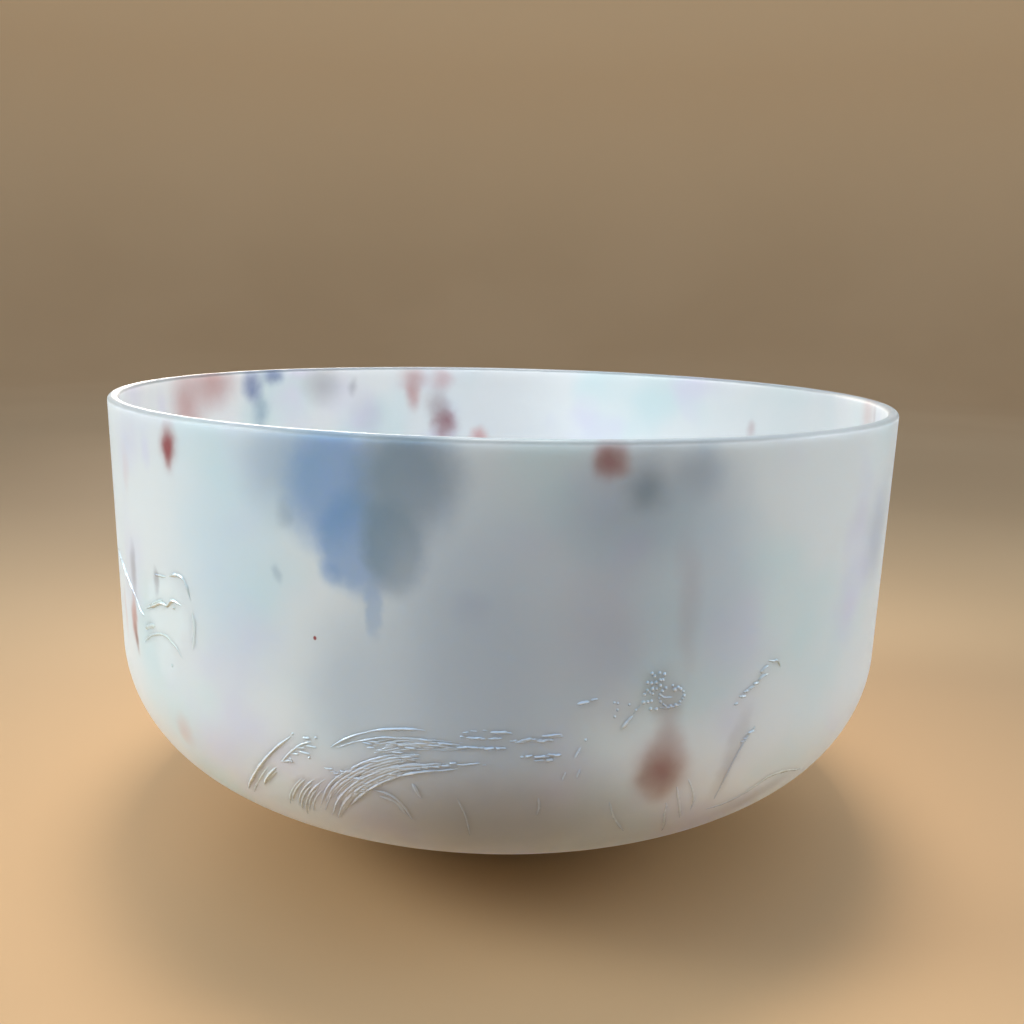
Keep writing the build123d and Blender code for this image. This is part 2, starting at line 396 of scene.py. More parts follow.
# Tints that multiply the quartz's colour. All of them are painted light or shade: on the inner wall
# and floor, on the far side's outside and on the rim's top, and a painted glow on the glaze.
INNER_WALL_PAINTED_LIGHT = (1.14, 1.08, 1.03, 1.0)
INNER_WALL_LEFT_SHADE = (0.96, 0.85, 0.77, 1.0)
INNER_WALL_RIGHT_SHADE = (0.75, 0.69, 0.65, 1.0)
INNER_FLOOR_SHADE = rgb(226, 228, 231)
FAR_SIDE_SHADE = rgb(224, 227, 231)
RIM_TOP_SHADE_OUTSIDE = rgb(195, 195, 191)
RIM_TOP_SHADE_INSIDE = rgb(160, 162, 165)
GLAZE_PAINTED_GLOW = (1.04, 1.12, 1.24, 1.0)

# From where to where each of them fades in or out, along x, y or z.
INNER_FLOOR_FADES = (40 * MM, 88 * MM)
INNER_FLOOR_WHITE = 0.75  # how far white hides the clouds on the floor inside
RIGHT_SIDE = (30 * MM, 108 * MM)
LEFT_SIDE = (-110 * MM, -20 * MM)
FAR_SIDE_FADES = (-20 * MM, 80 * MM)
RIM_TOP_SHADE_BAND = (RIM_HEIGHT - 1.3 * MM, RIM_HEIGHT - 0.5 * MM)

CREST_PAINTED_HIGHLIGHT = rgb(252, 254, 255)
RUBBER_BLACK, RUBBER_DUST = rgb(26, 26, 28), rgb(62, 61, 60)
FLOOR_SAND, FLOOR_PALE_SAND = rgb(187, 150, 108), rgb(192, 155, 113)
FLOOR_HIGH = rgb(240, 200, 150)


def frosted_quartz(name):
    """Frosted milky quartz, lit through its depth, with a satin skin."""
    tree = Tree(name)
    shader = tree.shader
    colour = add_clouds(tree)
    apart = tree.nodes.new("ShaderNodeSeparateXYZ")
    tree.links.new(tree.place, apart.inputs[0])
    height = apart.outputs["Z"]
    inside = tree.attribute(INSIDE)
    # The floor inside is plainer than the base that it shares its clouds with, so that the painted
    # shade on the base's outside does not show inside.
    hollow = tree.math("MULTIPLY", inside, tree.ramp(height, *INNER_FLOOR_FADES, 1.0, 0.0))
    colour = tree.mix(tree.math("MULTIPLY", hollow, INNER_FLOOR_WHITE), colour, WHITE)
    # Painted light and shade: the inner wall is brightened in the middle and darkened towards its
    # two sides, and the floor inside is darkened.
    right = tree.ramp(apart.outputs["X"], *RIGHT_SIDE, smooth=False)
    left = tree.ramp(apart.outputs["X"], *LEFT_SIDE, 1.0, 0.0, smooth=False)
    wall = tree.mix(right, INNER_WALL_PAINTED_LIGHT, INNER_WALL_RIGHT_SHADE)
    wall = tree.mix(left, wall, INNER_WALL_LEFT_SHADE)
    colour = tree.mix(inside, colour, tree.mix(hollow, wall, INNER_FLOOR_SHADE), "MULTIPLY")
    # Painted shade on the far side's outside too, as the near side has.
    outside = tree.math("SUBTRACT", 1.0, inside)
    far = tree.math("MULTIPLY", outside, tree.ramp(apart.outputs["Y"], *FAR_SIDE_FADES))
    colour = tree.mix(far, colour, FAR_SIDE_SHADE, "MULTIPLY")
    # Painted shade: the rim's top is darkened, and more so on its inner half.
    rim_top_shade = tree.ramp(height, *RIM_TOP_SHADE_BAND)
    rim_top_shade_tint = tree.mix(inside, RIM_TOP_SHADE_OUTSIDE, RIM_TOP_SHADE_INSIDE)
    colour = tree.mix(rim_top_shade, colour, rim_top_shade_tint, "MULTIPLY")
    tree.set(shader.inputs["Base Color"], colour)
    shader.inputs["IOR"].default_value = QUARTZ_IOR
    shader.inputs["Subsurface Weight"].default_value = 1.0
    shader.inputs["Subsurface Radius"].default_value = (1.0, 1.0, 1.0)
    shader.inputs["Subsurface Scale"].default_value = GLOW_DEPTH
    patchy = tree.noise(tree.place, 12 * MM, detail=4.0)
    tree.set(shader.inputs["Roughness"], tree.ramp(patchy, 0.3, 0.7, 0.35, 0.47))
    grain = tree.noise(tree.place, 0.35 * MM, detail=3.0, roughness=0.6)
    swell = tree.noise(tree.place, 7 * MM, detail=2.0)
    normal = tree.bump(swell, 0.12 * MM, 0.5)
    tree.set(shader.inputs["Normal"], tree.bump(grain, 0.02 * MM, 0.35, normal))
    return tree.material


def clear_glaze(name):
    """A shiny glaze in the quartz's own colours, made brighter and bluer by a painted glow, and
    white along its crests by a painted highlight.
    """
    tree = Tree(name)
    shader = tree.shader
    # Painted glow: the quartz's colours brightened and turned bluer, standing in for the light that
    # comes through the quartz from inside the bowl.
    thin = tree.mix(1.0, add_clouds(tree), GLAZE_PAINTED_GLOW, "MULTIPLY")
    thin.node.clamp_result = True
    # Painted highlight: the glaze turns white towards the tops of its crests.
    high = tree.ramp(tree.attribute(CREST), 0.35, 1.0, 0.0, 0.85)
    tree.set(shader.inputs["Base Color"], tree.mix(high, thin, CREST_PAINTED_HIGHLIGHT))
    haze = tree.noise(tree.place, 1.6 * MM, detail=3.0)
    tree.set(shader.inputs["Roughness"], tree.ramp(haze, 0.3, 0.75, 0.14, 0.30))
    shader.inputs["IOR"].default_value = QUARTZ_IOR
    shader.inputs["Coat Weight"].default_value = 0.8
    shader.inputs["Coat Roughness"].default_value = 0.12
    tree.set(shader.inputs["Normal"], tree.bump(haze, 0.05 * MM, 0.4))
    return tree.material


def rubber(name):
    """Matt black rubber with a fine moulded grain and a little dust."""
    tree = Tree(name)
    shader = tree.shader
    dust = tree.noise(tree.place, 6 * MM, detail=6.0, roughness=0.7)
    colour = tree.mix(tree.ramp(dust, 0.52, 0.85), RUBBER_BLACK, RUBBER_DUST)
    tree.set(shader.inputs["Base Color"], colour)
    tree.set(shader.inputs["Roughness"], tree.ramp(dust, 0.3, 0.8, 0.52, 0.78))
    shader.inputs["IOR"].default_value = RUBBER_IOR
    grain = tree.noise(tree.place, 0.5 * MM, detail=4.0, roughness=0.6)
    tree.set(shader.inputs["Normal"], tree.bump(grain, 0.05 * MM, 0.5))
    return tree.material


def plain_floor(name):
    """Plain pale sand colour, a little lighter up the wall."""
    tree = Tree(name)
    tone = tree.noise(tree.place, 400 * MM, detail=2.0)
    colour = tree.mix(tree.ramp(tone, 0.3, 0.7), FLOOR_SAND, FLOOR_PALE_SAND)
    apart = tree.nodes.new("ShaderNodeSeparateXYZ")
    tree.links.new(tree.place, apart.inputs[0])
    colour = tree.mix(tree.ramp(apart.outputs["Z"], 0.02, 0.9), colour, FLOOR_HIGH)
    tree.set(tree.shader.inputs["Base Color"], colour)
    tree.shader.inputs["Roughness"].default_value = 0.9
    return tree.material


# ---- Meshes -------------------------------------------------------------------------------------

ON_AXIS = 1e-9  # a radius below this is on the axis
AROUND_BOWL = 360
AROUND_RING = 240
PROFILE_STEPS = 128  # points of the bowl's profile on its outside, and as many on its inside
LIP_STEPS = 8  # steps of each quarter turn of the rim's rounding


def full_turn(count):
    """Azimuths spread evenly all the way round."""
    return [360 * i / count for i in range(count)]


def add_mesh(name, vertices, faces, material, smooth_count=None):
    """A mesh whose first smooth_count faces, or all of them, are shaded smooth."""
    mesh = bpy.data.meshes.new(name)
    mesh.from_pydata(vertices, [], faces)
    smooth_count = len(faces) if smooth_count is None else smooth_count
    mesh.polygons.foreach_set("use_smooth", [k < smooth_count for k in range(len(faces))])
    mesh.materials.append(material)
    mesh.validate()
    mesh.update()
    piece = bpy.data.objects.new(name, mesh)
    bpy.context.scene.collection.objects.link(piece)
    return piece


def turned(name, profile, count, material):
    """A closed solid of revolution with count steps round its axis.

    Its profile of (radius, height) keeps the solid on its left. It goes from axis to axis, or round
    a closed loop.
    """
    azimuths = full_turn(count)
    vertices, rings = [], []
    for radius, height in profile:
        if radius < ON_AXIS:
            rings.append([len(vertices)])
            vertices.append((0.0, 0.0, height))
        else:
            rings.append(list(range(len(vertices), len(vertices) + count)))
            vertices.extend(around(radius, height, azimuth) for azimuth in azimuths)
    closed = profile[0][0] > ON_AXIS
    faces = []
    for first, second in list(zip(rings, rings[1:])) + ([(rings[-1], rings[0])] if closed else []):
        for i in range(count):
            j = (i + 1) % count
            if len(first) == 1:
                faces.append((first[0], second[j], second[i]))
            elif len(second) == 1:
                faces.append((first[i], first[j], second[0]))
            else:
                faces.append((first[i], first[j], second[j], second[i]))
    return add_mesh(name, vertices, faces, material)


def bowl_profile():
    """The shell's full outline, from the axis outside, over the rounded rim, to the axis inside."""
    # The walls start from the axis and stop below the rim's rounding.
    walks = LIP_RADIUS + (outline.length - LIP_RADIUS) * np.linspace(1, 0, PROFILE_STEPS)
    outside = [outline.at(s)[0] for s in walks]
    inside = [outline.at(s)[0] - WALL_THICKNESS * outline.at(s)[1] for s in walks[::-1]]
    outside[0][0] = inside[-1][0] = 0.0
    rim, out = outline.at(0.0)
    down = DOWN_WALL
    outer_centre = rim - LIP_RADIUS * out + LIP_RADIUS * down
    inner_centre = rim + (LIP_RADIUS - WALL_THICKNESS) * out + LIP_RADIUS * down
    quarter = [math.radians(90 * k / LIP_STEPS) for k in range(LIP_STEPS + 1)]
    lip = []
    for turn in quarter[:-1]:
        lip.append(outer_centre + LIP_RADIUS * (math.cos(turn) * out - math.sin(turn) * down))
    for turn in quarter:
        lip.append(inner_centre + LIP_RADIUS * (-math.sin(turn) * out - math.cos(turn) * down))
    shape = outside + lip[1:-1] + inside
    return [(float(r), min(float(z), RIM_HEIGHT)) for r, z in shape]


def make_bowl():
    """The smooth shell, with each of its points marked as outside or inside."""
    profile = bowl_profile()
    bowl = turned("bowl_quartz", profile, AROUND_BOWL, frosted_quartz("frosted_quartz"))
    # The mark goes from 0 to 1 over the points of the rim's rounding.
    over_lip = len(profile) - 2 * PROFILE_STEPS + 1
    marks = []
    for k, (radius, _) in enumerate(profile):
        share = min(max((k - PROFILE_STEPS + 1) / over_lip, 0.0), 1.0)
        marks += [share] * (AROUND_BOWL if radius else 1)
    bowl.data.attributes.new(INSIDE, "FLOAT", "POINT").data.foreach_set("value", marks)
    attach(bowl, "bowl")
    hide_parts("bowl_shell")


# ---- The clear relief ---------------------------------------------------------------------------


class Relief:
    """A low relief on the bowl's outside, as heights on a grid of (length walked, azimuth)."""

    SUNK = 0.016 * MM  # how deep the relief's edge dips into the bowl, so that no gap shows
    ROOT = 0.20 * MM  # how deep the piece reaches into the bowl
    # The painted highlight along the glaze's crests is strongest at FULL_RISE.
    FULL_RISE = 0.5 * MM  # where the glaze is at its whitest
    LEAST_RISE = 0.004 * MM  # what is lower than this is left out
    DAB_POWER = 1.3  # 1 makes a dab a round cap, and more makes its foot softer
    MM_PER_DEGREE = 2.0  # about what a degree of azimuth spans on the bowl's wall

    # A stroke is a row of dabs. Their size and place waver by smooth noise along the stroke.
    STEP = 0.4  # from one dab to the next, in the stroke's half widths
    LUMP, LUMP_SHARE = 2.4 * MM, 0.45  # length of the lumps, and their share of the size
    FINE, FINE_SHARE = 0.7 * MM, 0.30
    BEND, WANDER = 3.5 * MM, 0.15 * MM  # length of the bends, and how far they stray
    TIP, TAPER = 0.25, 4  # the size at a tip, and how fast it grows from there
    LEAST_SIZE = 0.25  # smaller dabs are gaps

    def __init__(self, first_azimuth, last_azimuth, low, high, seed, cell):
        """Clears a grid between two azimuths and two heights in mm, in cells of that size."""
        self.cell = cell
        self.turn = math.degrees(cell / RIM_RADIUS)
        self.azimuths = np.arange(first_azimuth, last_azimuth, self.turn)
        self.walks = np.arange(outline.walked_to(high), outline.walked_to(low), self.cell)
        ends = [outline.at(s) for s in self.walks]
        self.radii = np.array([place[0] for place, _ in ends])
        self.heights = np.array([place[1] for place, _ in ends])
        self.outward = np.array([out for _, out in ends])
        self.rise = np.zeros((len(self.walks), len(self.azimuths)))
        self.random = random.Random(seed)

    def dab(self, azimuth, height, radius, rise):
        """Raises a round dab, or keeps what is higher there already."""
        row = (outline.walked_to(height) - self.walks[0]) / self.cell
        column = (azimuth - self.azimuths[0]) / self.turn
        reach = int(radius / self.cell) + 2
        top, left = max(int(row) - reach, 0), max(int(column) - 2 * reach, 0)
        part = self.rise[top : int(row) + reach + 1, left : int(column) + 2 * reach + 1]
        if not part.size:
            return
        rows = np.arange(top, top + part.shape[0])[:, None]
        columns = np.arange(left, left + part.shape[1])[None, :]
        across = (columns - column) * self.cell * self.radii[rows] / RIM_RADIUS
        near = 1 - (across**2 + ((rows - row) * self.cell) ** 2) / radius**2
        np.maximum(part, rise * np.clip(near, 0, None) ** self.DAB_POWER, out=part)

    def stroke(self, places, radius, rise, gaps=0.0):
        """Draws a lumpy ridge through the places. It is broken where gaps is more than 0."""
        places = np.array(places, float)
        ends = np.linspace(0, 1, len(places))
        across = np.diff(places[:, 0]) * self.MM_PER_DEGREE
        span = np.hypot(across, np.diff(places[:, 1])).sum() * MM
        count = max(int(span / (self.STEP * radius)), 2)
        bend = smooth_path(ends, places, np.linspace(0, 1, count))
        phase = self.random.uniform(0, 100)
        for k, (azimuth, height) in enumerate(bend):
            run = k * span / count
            lump = noise.noise(Vector((run / self.LUMP, phase, 0.0)))
            fine = noise.noise(Vector((run / self.FINE, phase, 5.0)))
            thin = gaps * (0.5 + 1.6 * abs(lump))
            size = 1 + self.LUMP_SHARE * lump + self.FINE_SHARE * fine - thin
            from_start, from_end = self.TAPER * k / count, self.TAPER * (count - 1 - k) / count
            size *= min(1.0, from_start + self.TIP, from_end + self.TIP)
            if size < self.LEAST_SIZE:
                continue
            drift = noise.noise(Vector((run / self.BEND, phase, 9.0))) * self.WANDER / MM
            moved = azimuth + drift / self.MM_PER_DEGREE
            self.dab(moved, height + drift, radius * size, rise * size)

    def fan(self, first, last, count, radius, rise, gaps):
        """Strokes spread evenly from one path to another, each trimmed and weighted by chance."""
        first, last = np.array(first, float), np.array(last, float)
        ends = np.linspace(0, 1, len(first))
        for k in range(count):
            share = (k + self.random.uniform(0.2, 0.8)) / count
            path = first + (last - first) * share
            start = self.random.uniform(0.0, 0.22)
            stop = self.random.uniform(0.72, 1.0)
            trimmed = smooth_path(ends, path, np.linspace(start, stop, len(path)))
            weight = self.random.uniform(0.6, 1.25)
            self.stroke(trimmed, radius * weight, rise * weight, gaps)

    def dashes(self, first, last, count, radius, rise, scatter):
        """Short broken dashes scattered along a row from one place to another."""
        for k in range(count):
            share = (k + self.random.uniform(0.1, 0.9)) / count
            azimuth = first[0] + (last[0] - first[0]) * share
            height = first[1] + (last[1] - first[1]) * share + self.random.gauss(0, scatter)
            half = self.random.uniform(0.15, 0.75)
            lift = self.random.uniform(-0.25, 0.45) * half
            weight = self.random.uniform(0.6, 1.2)
            start, end = (azimuth - half, height - lift), (azimuth + half, height + lift)
            self.stroke((start, (azimuth, height), end), radius * weight, rise * weight)

    def piece(self, name, node, material):
        """Makes the raised cells one closed mesh that reaches a little way into the bowl."""
        raised = self.rise > self.LEAST_RISE
        cells = raised[:-1, :-1] | raised[1:, :-1] | raised[:-1, 1:] | raised[1:, 1:]
        fill_diagonals(cells)
        used = np.zeros(raised.shape, bool)
        for rows in (slice(None, -1), slice(1, None)):
            for columns in (slice(None, -1), slice(1, None)):
                used[rows, columns] |= cells
        index = np.full(raised.shape, -1)
        index[used] = np.arange(used.sum())
        count = int(used.sum())
        row, column = np.nonzero(used)
        angle = np.radians(self.azimuths[column])

        def places(offset):
            radius = self.radii[row] + offset * self.outward[row, 0]
            z = self.heights[row] + offset * self.outward[row, 1]
            return np.column_stack((radius * np.sin(angle), -radius * np.cos(angle), z))

        rise = self.rise[used]
        vertices = np.vstack((places(np.where(rise > 0, rise, -self.SUNK)), places(-self.ROOT)))
        r, c = np.nonzero(cells)
        corners = (index[r, c], index[r + 1, c], index[r + 1, c + 1], index[r, c + 1])
        tops = np.column_stack(corners)
        faces = [tuple(f) for f in tops] + [tuple(f[::-1] + count) for f in tops]
        padded = np.pad(cells, 1)
        height, width = cells.shape
        # Each side of a cell: where its neighbour is in padded, and the side's two corners.
        sides = (
            ((0, 1), (0, 0), (0, 1)),
            ((2, 1), (1, 1), (1, 0)),
            ((1, 0), (1, 0), (0, 0)),
            ((1, 2), (0, 1), (1, 1)),
        )
        for (down, right), start, end in sides:
            open_cells = cells & ~padded[down : down + height, right : right + width]
            for i, j in zip(*np.nonzero(open_cells)):
                a = int(index[i + start[0], j + start[1]])
                b = int(index[i + end[0], j + end[1]])
                faces.append((a, b, b + count, a + count))
        made = add_mesh(name, vertices.tolist(), faces, material, len(tops))
        crest = made.data.attributes.new(CREST, "FLOAT", "POINT")
        crest.data.foreach_set("value", np.concatenate((rise, np.zeros(count))) / self.FULL_RISE)
        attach(made, "bowl")
        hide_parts(node)


def fill_diagonals(cells):
    """Adds a cell where two others touch only at a corner, so that the mesh is a clean solid."""
    # Four views of the same cells, each one step apart from the next.
    here, right, below, across = cells[:-1, :-1], cells[:-1, 1:], cells[1:, :-1], cells[1:, 1:]
    while True:
        falling = here & across & ~right & ~below
        rising = right & below & ~here & ~across
        if not (falling.any() or rising.any()):
            return
        right |= falling
        here |= rising


def smooth_path(ends, places, wanted):
    """Places along a smooth curve through the given ones."""
    out = np.empty((len(wanted), 2))
    slopes = np.gradient(places, ends, axis=0)
    for k, t in enumerate(wanted):
        i = int(np.searchsorted(ends, t, side="right")) - 1
        i = min(max(i, 0), len(ends) - 2)
        h = ends[i + 1] - ends[i]
        u = (t - ends[i]) / h
        a = (1 + 2 * u) * (1 - u) ** 2 * places[i] + u * (1 - u) ** 2 * h * slopes[i]
        out[k] = a + u * u * (3 - 2 * u) * places[i + 1] + u * u * (u - 1) * h * slopes[i + 1]
    return out


# Each relief below is drawn by strokes (places, half width, rise, how broken), dabs (azimuth,
# height, radius, rise), rows of dashes (first, last, count, half width, rise, scatter in mm) and
# fans (first path, last path, count, half width, rise, how broken).


def make_left_patch(material):
    relief = Relief(-68, -33, 55, 92, seed=1, cell=0.14 * MM)
    fold = (
        (-49.8, 75.8), (-47.2, 77.7), (-45.2, 79.3), (-43.6, 79.4), (-42.2, 81.2), (-40.2, 80.9),
    )
    relief.stroke(fold, 0.38 * MM, 0.36 * MM)
    relief.stroke(((-48.6, 77.2), (-46.6, 78.8), (-44.6, 80.4)), 0.32 * MM, 0.24 * MM)
    relief.stroke(((-46.4, 86.0), (-43.4, 86.6)), 0.34 * MM, 0.18 * MM)
    lobe_top = ((-42.6, 87.2), (-41.2, 88.0), (-39.8, 87.8), (-38.9, 86.0), (-38.3, 83.0))
    relief.stroke(lobe_top, 0.42 * MM, 0.26 * MM)
    relief.stroke(((-38.1, 80.0), (-37.8, 76.0), (-38.4, 71.0)), 0.50 * MM, 0.07 * MM)
    foot = ((-51.0, 66.4), (-48.6, 69.4), (-45.0, 71.4), (-42.4, 70.2), (-40.6, 67.6))
    relief.stroke(foot, 0.34 * MM, 0.12 * MM)
    relief.stroke(((-50.4, 70.4), (-49.0, 71.6), (-47.2, 72.6)), 0.6 * MM, 0.12 * MM)
    long_run = ((-64.0, 84.9), (-60.4, 83.0), (-56.8, 80.2), (-53.6, 76.8))
    relief.stroke(long_run, 0.44 * MM, 0.40 * MM)
    relief.stroke(((-53.6, 76.8), (-52.0, 74.4), (-50.6, 73.4)), 0.34 * MM, 0.24 * MM)
    relief.dab(-41.9, 79.6, 0.36 * MM, 0.5 * MM)
    relief.dab(-43.2, 64.6, 0.40 * MM, 0.24 * MM)
    relief.piece("relief_patch_left", "relief_left_patch", material)


def make_left_strokes(material):
    relief = Relief(-36, -15, 30, 62, seed=2, cell=0.14 * MM)
    outer = ((-32.6, 37.2), (-30.2, 42.6), (-27.8, 48.0), (-25.4, 53.0), (-23.2, 56.8))
    relief.stroke(outer, 0.40 * MM, 0.42 * MM, 0.05)
    relief.stroke([(a + 0.8, h - 0.6) for a, h in outer[:3]], 0.30 * MM, 0.20 * MM, 0.35)
    relief.stroke(((-28.7, 41.3), (-27.5, 44.4), (-25.8, 47.8)), 0.34 * MM, 0.34 * MM, 0.1)
    relief.stroke(((-27.9, 42.3), (-26.9, 44.8), (-25.9, 46.6)), 0.26 * MM, 0.24 * MM, 0.2)
    inner = ((-25.2, 48.6), (-23.8, 52.0), (-22.0, 55.2), (-20.3, 56.8))
    relief.stroke(inner, 0.30 * MM, 0.26 * MM, 0.30)
    relief.dashes((-24.6, 50.0), (-20.4, 56.6), 9, 0.20 * MM, 0.20 * MM, 0.8)
    fan_left = ((-26.6, 35.0), (-25.2, 40.6), (-23.2, 45.6), (-20.8, 50.0))
    fan_right = ((-22.6, 33.0), (-21.6, 38.4), (-20.0, 43.2), (-17.8, 47.6))
    relief.fan(fan_left, fan_right, 7, 0.24 * MM, 0.16 * MM, 0.20)
    for azimuth, height in ((-19.9, 57.8), (-22.9, 57.6), (-20.9, 52.6), (-23.3, 50.6)):
        relief.dab(azimuth, height, 0.30 * MM, 0.34 * MM)
    relief.piece("relief_strokes_left", "relief_left_strokes", material)


def make_main_sweep(material):
    relief = Relief(-24, 1.5, 31, 67, seed=3, cell=0.13 * MM)
    upper = ((-21.8, 36.6), (-19.0, 46.0), (-15.6, 52.0), (-11.6, 56.2), (-6.8, 58.0))
    lower = ((-18.6, 34.6), (-16.4, 41.6), (-13.4, 47.6), (-9.2, 52.2), (-3.6, 54.4))
    relief.fan(upper, lower, 17, 0.25 * MM, 0.18 * MM, 0.30)
    relief.stroke(lower[1:], 0.36 * MM, 0.34 * MM, 0.12)
    relief.stroke([(a - 0.55, h + 0.9) for a, h in lower], 0.30 * MM, 0.26 * MM, 0.18)
    relief.stroke([(a - 1.15, h + 1.9) for a, h in lower[:4]], 0.27 * MM, 0.24 * MM, 0.14)
    relief.dashes((-15.6, 46.0), (-9.4, 53.2), 20, 0.22 * MM, 0.24 * MM, 0.8)
    relief.dashes((-9.4, 53.4), (-5.4, 54.9), 10, 0.22 * MM, 0.24 * MM, 0.35)
    relief.dashes((-5.6, 55.1), (-0.4, 55.9), 6, 0.20 * MM, 0.20 * MM, 0.25)
    crown = ((-18.2, 56.0), (-16.0, 59.0), (-12.8, 61.6), (-9.2, 62.8), (-6.4, 62.6))
    relief.stroke(crown, 0.26 * MM, 0.26 * MM, 0.15)
    under_crown = ((-17.4, 56.2), (-15.0, 58.4), (-11.8, 60.2), (-7.4, 60.6))
    relief.stroke(under_crown, 0.22 * MM, 0.20 * MM, 0.20)
    fan_top = ((-14.6, 57.6), (-10.6, 60.4), (-6.0, 60.8), (-2.4, 60.6))
    fan_bottom = ((-13.8, 55.0), (-9.6, 57.6), (-5.2, 58.4), (-1.4, 57.8))
    relief.fan(fan_top, fan_bottom, 7, 0.21 * MM, 0.15 * MM, 0.45)
    relief.dashes((-14.0, 57.4), (-4.4, 60.4), 22, 0.20 * MM, 0.20 * MM, 0.9)
    relief.dashes((-18.6, 49.0), (-8.0, 57.0), 26, 0.19 * MM, 0.18 * MM, 1.2)
    relief.piece("relief_sweep_main", "relief_main_sweep", material)


def make_sweep_tail(material):
    relief = Relief(-4, 18, 49, 75, seed=4, cell=0.13 * MM)
    relief.dashes((-3.4, 61.6), (1.0, 61.3), 6, 0.22 * MM, 0.24 * MM, 0.30)
    relief.dashes((-3.6, 59.7), (1.3, 59.4), 9, 0.25 * MM, 0.30 * MM, 0.15)
    relief.dashes((-3.0, 63.0), (2.4, 63.1), 6, 0.22 * MM, 0.18 * MM, 0.25)
    relief.dashes((1.8, 61.0), (7.4, 61.6), 11, 0.21 * MM, 0.20 * MM, 0.45)
    relief.dashes((3.0, 57.6), (7.4, 58.0), 8, 0.25 * MM, 0.30 * MM, 0.15)
    relief.dashes((4.8, 56.8), (6.4, 56.8), 2, 0.28 * MM, 0.26 * MM, 0.10)
    relief.dashes((5.6, 62.4), (7.0, 62.6), 2, 0.26 * MM, 0.28 * MM, 0.10)
    relief.stroke(((9.0, 57.0), (9.2, 58.0), (9.5, 59.3)), 0.30 * MM, 0.34 * MM)
    relief.stroke(((9.0, 69.3), (9.7, 69.6), (10.3, 69.7)), 0.30 * MM, 0.36 * MM)
    relief.stroke(((10.4, 70.0), (11.2, 70.3)), 0.26 * MM, 0.32 * MM)
    relief.stroke(((14.0, 62.9), (14.7, 64.6), (15.2, 65.8)), 0.34 * MM, 0.38 * MM)
    relief.stroke(((15.3, 66.2), (15.8, 67.4), (16.3, 68.6)), 0.24 * MM, 0.24 * MM, 0.2)
    dots = (
        (13.1, 69.2), (13.5, 69.0), (13.5, 67.5), (13.2, 66.0),
        (14.8, 68.5), (15.6, 67.1), (10.1, 61.1),
    )
    for azimuth, height in dots:
        relief.dab(azimuth, height, 0.32 * MM, 0.36 * MM)
    for azimuth, height in ((7.9, 52.9), (9.5, 53.4)):
        tick = ((azimuth + 0.1, height + 0.9), (azimuth, height), (azimuth - 0.2, height - 1.3))
        relief.stroke(tick, 0.22 * MM, 0.18 * MM)
    relief.piece("relief_tail", "relief_sweep_tail", material)


def make_drips(material):
    relief = Relief(-15, 28, 26, 52, seed=5, cell=0.14 * MM)
    relief.stroke(((-13.4, 47.0), (-11.4, 46.2), (-10.0, 43.4), (-9.2, 39.4)), 0.34 * MM, 0.18 * MM)
    relief.stroke(((-12.6, 45.4), (-10.9, 44.2), (-9.9, 41.0)), 0.40 * MM, 0.10 * MM)
    relief.stroke(((-8.7, 49.8), (-8.3, 48.0), (-7.8, 46.2)), 0.36 * MM, 0.20 * MM)
    relief.stroke(((-3.7, 46.8), (-2.9, 42.0), (-2.5, 35.0)), 0.26 * MM, 0.08 * MM, 0.1)
    relief.stroke(((5.2, 47.4), (5.4, 45.0), (5.2, 42.4)), 0.28 * MM, 0.16 * MM)
    relief.stroke(((13.4, 45.2), (14.4, 40.4), (16.5, 34.4)), 0.28 * MM, 0.07 * MM, 0.1)
    relief.stroke(((20.8, 42.6), (21.4, 38.0), (22.8, 31.2)), 0.28 * MM, 0.08 * MM)
    relief.stroke(((22.9, 48.7), (24.4, 43.4), (25.0, 38.0)), 0.28 * MM, 0.08 * MM, 0.1)
    relief.stroke(((21.6, 47.0), (22.6, 42.0), (24.0, 36.0)), 0.36 * MM, 0.08 * MM)
    relief.piece("relief_runs", "relief_drips", material)


def make_bead_cluster(material):
    relief = Relief(14.5, 23.5, 62, 79, seed=6, cell=0.12 * MM)
    chance = relief.random
    # Rows of beads: the azimuth of the middle, the height, and the count.
    rows = (
        (17.9, 74.9, 4), (17.7, 73.2, 5), (17.6, 71.8, 4),
        (17.0, 70.4, 3), (16.9, 69.1, 3), (17.7, 67.3, 2),
    )
    pitch = 0.50  # from one bead to the next, in degrees of azimuth
    for middle, height, count in rows:
        for k in range(count):
            azimuth = middle + (k - (count - 1) / 2) * pitch + chance.uniform(-0.16, 0.16)
            up = chance.uniform(-0.45, 0.45)
            relief.dab(azimuth, height + up, chance.uniform(0.30, 0.46) * MM, 0.50 * MM)
    # A wreath of beads beside them.
    wreath_beads = 16
    wreath_middle, wreath_half_width, wreath_half_height = (19.8, 69.4), 1.6, 2.3
    for k in range(wreath_beads):
        turn = math.tau * k / wreath_beads + chance.uniform(-0.1, 0.1)
        reach = chance.uniform(0.88, 1.08)
        azimuth = wreath_middle[0] + wreath_half_width * reach * math.cos(turn)
        height = wreath_middle[1] + wreath_half_height * reach * math.sin(turn)
        relief.dab(azimuth, height, chance.uniform(0.26, 0.44) * MM, 0.44 * MM)
    relief.dab(20.1, 70.9, 0.55 * MM, 0.65 * MM)
    relief.stroke(((18.4, 67.2), (19.6, 66.9), (21.2, 67.3)), 0.30 * MM, 0.34 * MM, 0.2)
    relief.stroke(((18.2, 70.4), (18.9, 69.4), (20.0, 69.2)), 0.26 * MM, 0.26 * MM, 0.2)
    relief.piece("relief_beads", "relief_bead_cluster", material)


